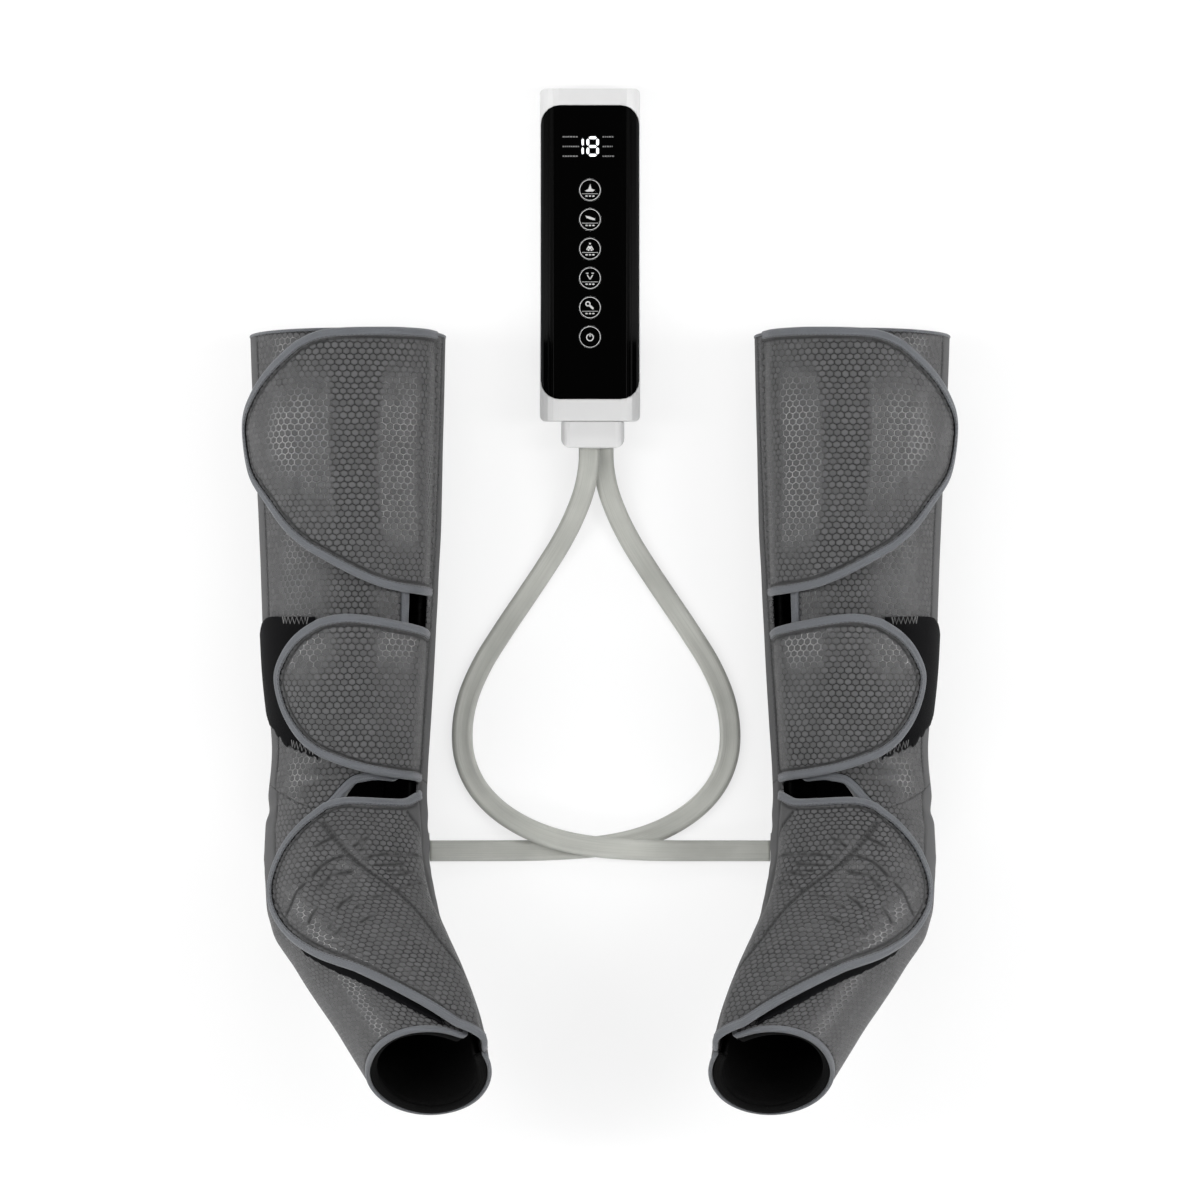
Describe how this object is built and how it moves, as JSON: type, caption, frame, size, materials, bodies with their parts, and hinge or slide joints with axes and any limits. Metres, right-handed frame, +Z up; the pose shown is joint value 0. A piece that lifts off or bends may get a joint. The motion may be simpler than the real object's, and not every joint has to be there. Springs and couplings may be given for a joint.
{
  "type": "air compression leg massager",
  "caption": "Pair of padded wrap boots with closing flaps and inner air bags, joined by flat air hoses to a hand controller with round keys.",
  "frame": {"origin": "on the surface the set lies on, under the middle of the laid-out set", "axes": "+X from the left boot to the right boot as seen from above, +Y from the toes to the top hems and the controller, +Z up from the surface"},
  "size_m": [0.4408, 0.6346, 0.1904],
  "materials": {
    "cloth": "padded dark grey cloth, honeycomb embossed",
    "binding": "woven grey edge tape",
    "lining": "black knitted cloth",
    "bag": "thin welded film",
    "hook": "black hook tape",
    "loop": "black satin loop cloth",
    "collar": "moulded grey rubber",
    "hose": "satin grey bonded tubing",
    "housing": "fine satin white",
    "panel": "gloss black",
    "display": "dark lens",
    "key": "gloss black with a grey ring",
    "board": "green laminate",
    "battery": "blue sleeve",
    "pump": "plated can",
    "valve": "dark moulding",
    "socket": "grey moulding"
  },
  "bodies": {
    "boots_and_hoses": {"left_calf_shell": "cloth", "left_foot_shell": "cloth", "left_lining": "lining", "left_upper_calf_air_bag": "bag", "left_lower_calf_air_bag": "bag", "left_foot_air_bag": "bag", "left_upper_loop_patch": "loop", "left_middle_loop_patch": "loop", "left_foot_loop_patch": "loop", "left_calf_edge_binding": "binding", "left_foot_edge_binding": "binding", "left_air_inlet": "collar", "right_calf_shell": "cloth", "right_foot_shell": "cloth", "right_lining": "lining", "right_upper_calf_air_bag": "bag", "right_lower_calf_air_bag": "bag", "right_foot_air_bag": "bag", "right_upper_loop_patch": "loop", "right_middle_loop_patch": "loop", "right_foot_loop_patch": "loop", "right_calf_edge_binding": "binding", "right_foot_edge_binding": "binding", "right_air_inlet": "collar", "hose_plug": "housing", "left_loop_hose": "hose", "right_loop_hose": "hose"},
    "controller": {"front_housing": "housing", "rear_housing": "housing", "front_panel": "panel", "display": "display", "circuit_board": "board", "battery_pack": "battery", "air_pump": "pump", "valve_block": "valve", "hose_socket": "socket"},
    "key_1": {"key_1": "key"},
    "key_2": {"key_2": "key"},
    "key_3": {"key_3": "key"},
    "key_4": {"key_4": "key"},
    "key_5": {"key_5": "key"},
    "key_6": {"key_6": "key"},
    "left_upper_flap": {"left_upper_flap": "cloth", "left_upper_flap_binding": "binding", "left_upper_hook_strip": "hook"},
    "left_middle_flap": {"left_middle_flap": "cloth", "left_middle_flap_binding": "binding", "left_middle_hook_strip": "hook"},
    "left_foot_flap": {"left_foot_flap": "cloth", "left_foot_flap_binding": "binding", "left_foot_hook_strip": "hook"},
    "right_upper_flap": {"right_upper_flap": "cloth", "right_upper_flap_binding": "binding", "right_upper_hook_strip": "hook"},
    "right_middle_flap": {"right_middle_flap": "cloth", "right_middle_flap_binding": "binding", "right_middle_hook_strip": "hook"},
    "right_foot_flap": {"right_foot_flap": "cloth", "right_foot_flap_binding": "binding", "right_foot_hook_strip": "hook"}
  },
  "joints": [
    {"name": "controller_off_plug", "type": "slide", "parent": "boots_and_hoses", "child": "controller", "axis": [0, 1, 0], "range_m": [0, 0.014]},
    {"name": "key_1_press", "type": "slide", "parent": "controller", "child": "key_1", "axis": [0, 0, -1], "range_m": [0, 0.0005], "stiffness_N_per_m": 1500, "springref_m": -0.0002},
    {"name": "key_2_press", "type": "slide", "parent": "controller", "child": "key_2", "axis": [0, 0, -1], "range_m": [0, 0.0005], "stiffness_N_per_m": 1500, "springref_m": -0.0002},
    {"name": "key_3_press", "type": "slide", "parent": "controller", "child": "key_3", "axis": [0, 0, -1], "range_m": [0, 0.0005], "stiffness_N_per_m": 1500, "springref_m": -0.0002},
    {"name": "key_4_press", "type": "slide", "parent": "controller", "child": "key_4", "axis": [0, 0, -1], "range_m": [0, 0.0005], "stiffness_N_per_m": 1500, "springref_m": -0.0002},
    {"name": "key_5_press", "type": "slide", "parent": "controller", "child": "key_5", "axis": [0, 0, -1], "range_m": [0, 0.0005], "stiffness_N_per_m": 1500, "springref_m": -0.0002},
    {"name": "key_6_press", "type": "slide", "parent": "controller", "child": "key_6", "axis": [0, 0, -1], "range_m": [0, 0.0005], "stiffness_N_per_m": 1500, "springref_m": -0.0002},
    {"name": "left_upper_flap_hinge", "type": "hinge", "parent": "boots_and_hoses", "child": "left_upper_flap", "pos_m": [-0.10035, 0.08395, 0.07345], "axis": [0.0241, 0.9996, 0.0118], "range_deg": [0, 130]},
    {"name": "left_middle_flap_hinge", "type": "hinge", "parent": "boots_and_hoses", "child": "left_middle_flap", "pos_m": [-0.1066, -0.0665, 0.06685], "axis": [0.0584, 0.9946, 0.0854], "range_deg": [0, 130]},
    {"name": "left_foot_flap_hinge", "type": "hinge", "parent": "boots_and_hoses", "child": "left_foot_flap", "pos_m": [-0.08845, -0.1965, 0.11655], "axis": [-0.2218, 0.7928, -0.5677], "range_deg": [0, 120]},
    {"name": "right_upper_flap_hinge", "type": "hinge", "parent": "boots_and_hoses", "child": "right_upper_flap", "pos_m": [0.10035, 0.08395, 0.07345], "axis": [0.0241, -0.9996, -0.0118], "range_deg": [0, 130]},
    {"name": "right_middle_flap_hinge", "type": "hinge", "parent": "boots_and_hoses", "child": "right_middle_flap", "pos_m": [0.1066, -0.0665, 0.06685], "axis": [0.0584, -0.9946, -0.0854], "range_deg": [0, 130]},
    {"name": "right_foot_flap_hinge", "type": "hinge", "parent": "boots_and_hoses", "child": "right_foot_flap", "pos_m": [0.08845, -0.1965, 0.11655], "axis": [-0.2218, -0.7928, 0.5677], "range_deg": [0, 120]}
  ]
}
